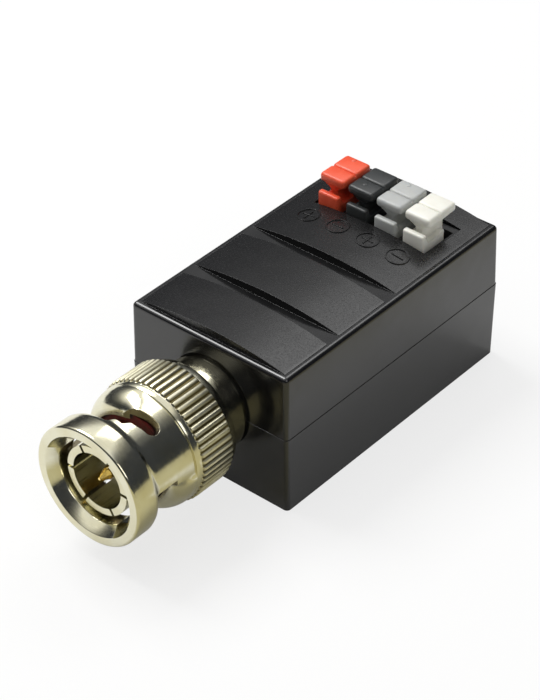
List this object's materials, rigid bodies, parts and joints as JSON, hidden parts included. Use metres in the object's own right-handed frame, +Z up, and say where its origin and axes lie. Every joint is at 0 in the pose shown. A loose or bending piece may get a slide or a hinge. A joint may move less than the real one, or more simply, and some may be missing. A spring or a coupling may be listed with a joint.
{
  "type": "cctv video balun",
  "caption": "Video balun for security cameras: moulded case, bayonet coaxial plug and a row of coloured lever terminals for twisted-pair wire.",
  "frame": {"origin": "centre of the case's flat bottom face", "axes": "+Z up through the levers, -Y along the plug's axis towards the mating jack, +X to the right seen from the plug end"},
  "size_m": [0.0214, 0.0541, 0.0214],
  "materials": {
    "case_plastic": "satin moulded",
    "nickel_plate": "bright nickel",
    "gold_plate": "bright gold plate",
    "gasket_rubber": "soft matte",
    "insulator_plastic": "matte",
    "board_laminate": "solder mask",
    "ferrite": "sintered matte",
    "copper_wire": "enamelled",
    "component_plastic": "moulded",
    "terminal_plastic": "moulded",
    "tin_plate": "tinned",
    "spring_steel": "spring steel",
    "red_plastic": "satin moulded",
    "black_plastic": "satin moulded",
    "grey_plastic": "satin moulded",
    "white_plastic": "satin moulded"
  },
  "bodies": {
    "case": {"lower_case": "case_plastic", "upper_case": "case_plastic", "circuit_board": "board_laminate", "transformer_core": "ferrite", "primary_winding": "copper_wire", "secondary_winding": "copper_wire", "surge_suppressor": "component_plastic", "coupling_capacitor": "component_plastic", "connector_body": "nickel_plate", "contact_sleeve": "nickel_plate", "insulator": "insulator_plastic", "centre_pin": "gold_plate", "gasket": "gasket_rubber", "retaining_ring": "spring_steel", "terminal_housing": "terminal_plastic", "red_contact": "tin_plate", "black_contact": "tin_plate", "grey_contact": "tin_plate", "white_contact": "tin_plate", "red_spring": "spring_steel", "black_spring": "spring_steel", "grey_spring": "spring_steel", "white_spring": "spring_steel"},
    "spring_washer": {"wave_washer": "spring_steel"},
    "coupling_nut": {"coupling_nut": "nickel_plate"},
    "red_lever": {"red_lever": "red_plastic"},
    "black_lever": {"black_lever": "black_plastic"},
    "grey_lever": {"grey_lever": "grey_plastic"},
    "white_lever": {"white_lever": "white_plastic"}
  },
  "joints": [
    {"name": "nut_pull", "type": "slide", "parent": "case", "child": "spring_washer", "axis": [0, -1, 0], "range_m": [0, 0.0005], "stiffness_N_per_m": 6000, "springref_m": -0.0005},
    {"name": "nut_turn", "type": "hinge", "parent": "spring_washer", "child": "coupling_nut", "pos_m": [0, -0.0285, 0.0095], "axis": [0, -1, 0], "continuous": true},
    {"name": "red_press", "type": "slide", "parent": "case", "child": "red_lever", "axis": [0, 0, -1], "range_m": [0, 0.0012], "stiffness_N_per_m": 2500, "springref_m": -0.0004, "deforming": ["red_spring"]},
    {"name": "black_press", "type": "slide", "parent": "case", "child": "black_lever", "axis": [0, 0, -1], "range_m": [0, 0.0012], "stiffness_N_per_m": 2500, "springref_m": -0.0004, "deforming": ["black_spring"]},
    {"name": "grey_press", "type": "slide", "parent": "case", "child": "grey_lever", "axis": [0, 0, -1], "range_m": [0, 0.0012], "stiffness_N_per_m": 2500, "springref_m": -0.0004, "deforming": ["grey_spring"]},
    {"name": "white_press", "type": "slide", "parent": "case", "child": "white_lever", "axis": [0, 0, -1], "range_m": [0, 0.0012], "stiffness_N_per_m": 2500, "springref_m": -0.0004, "deforming": ["white_spring"]}
  ]
}
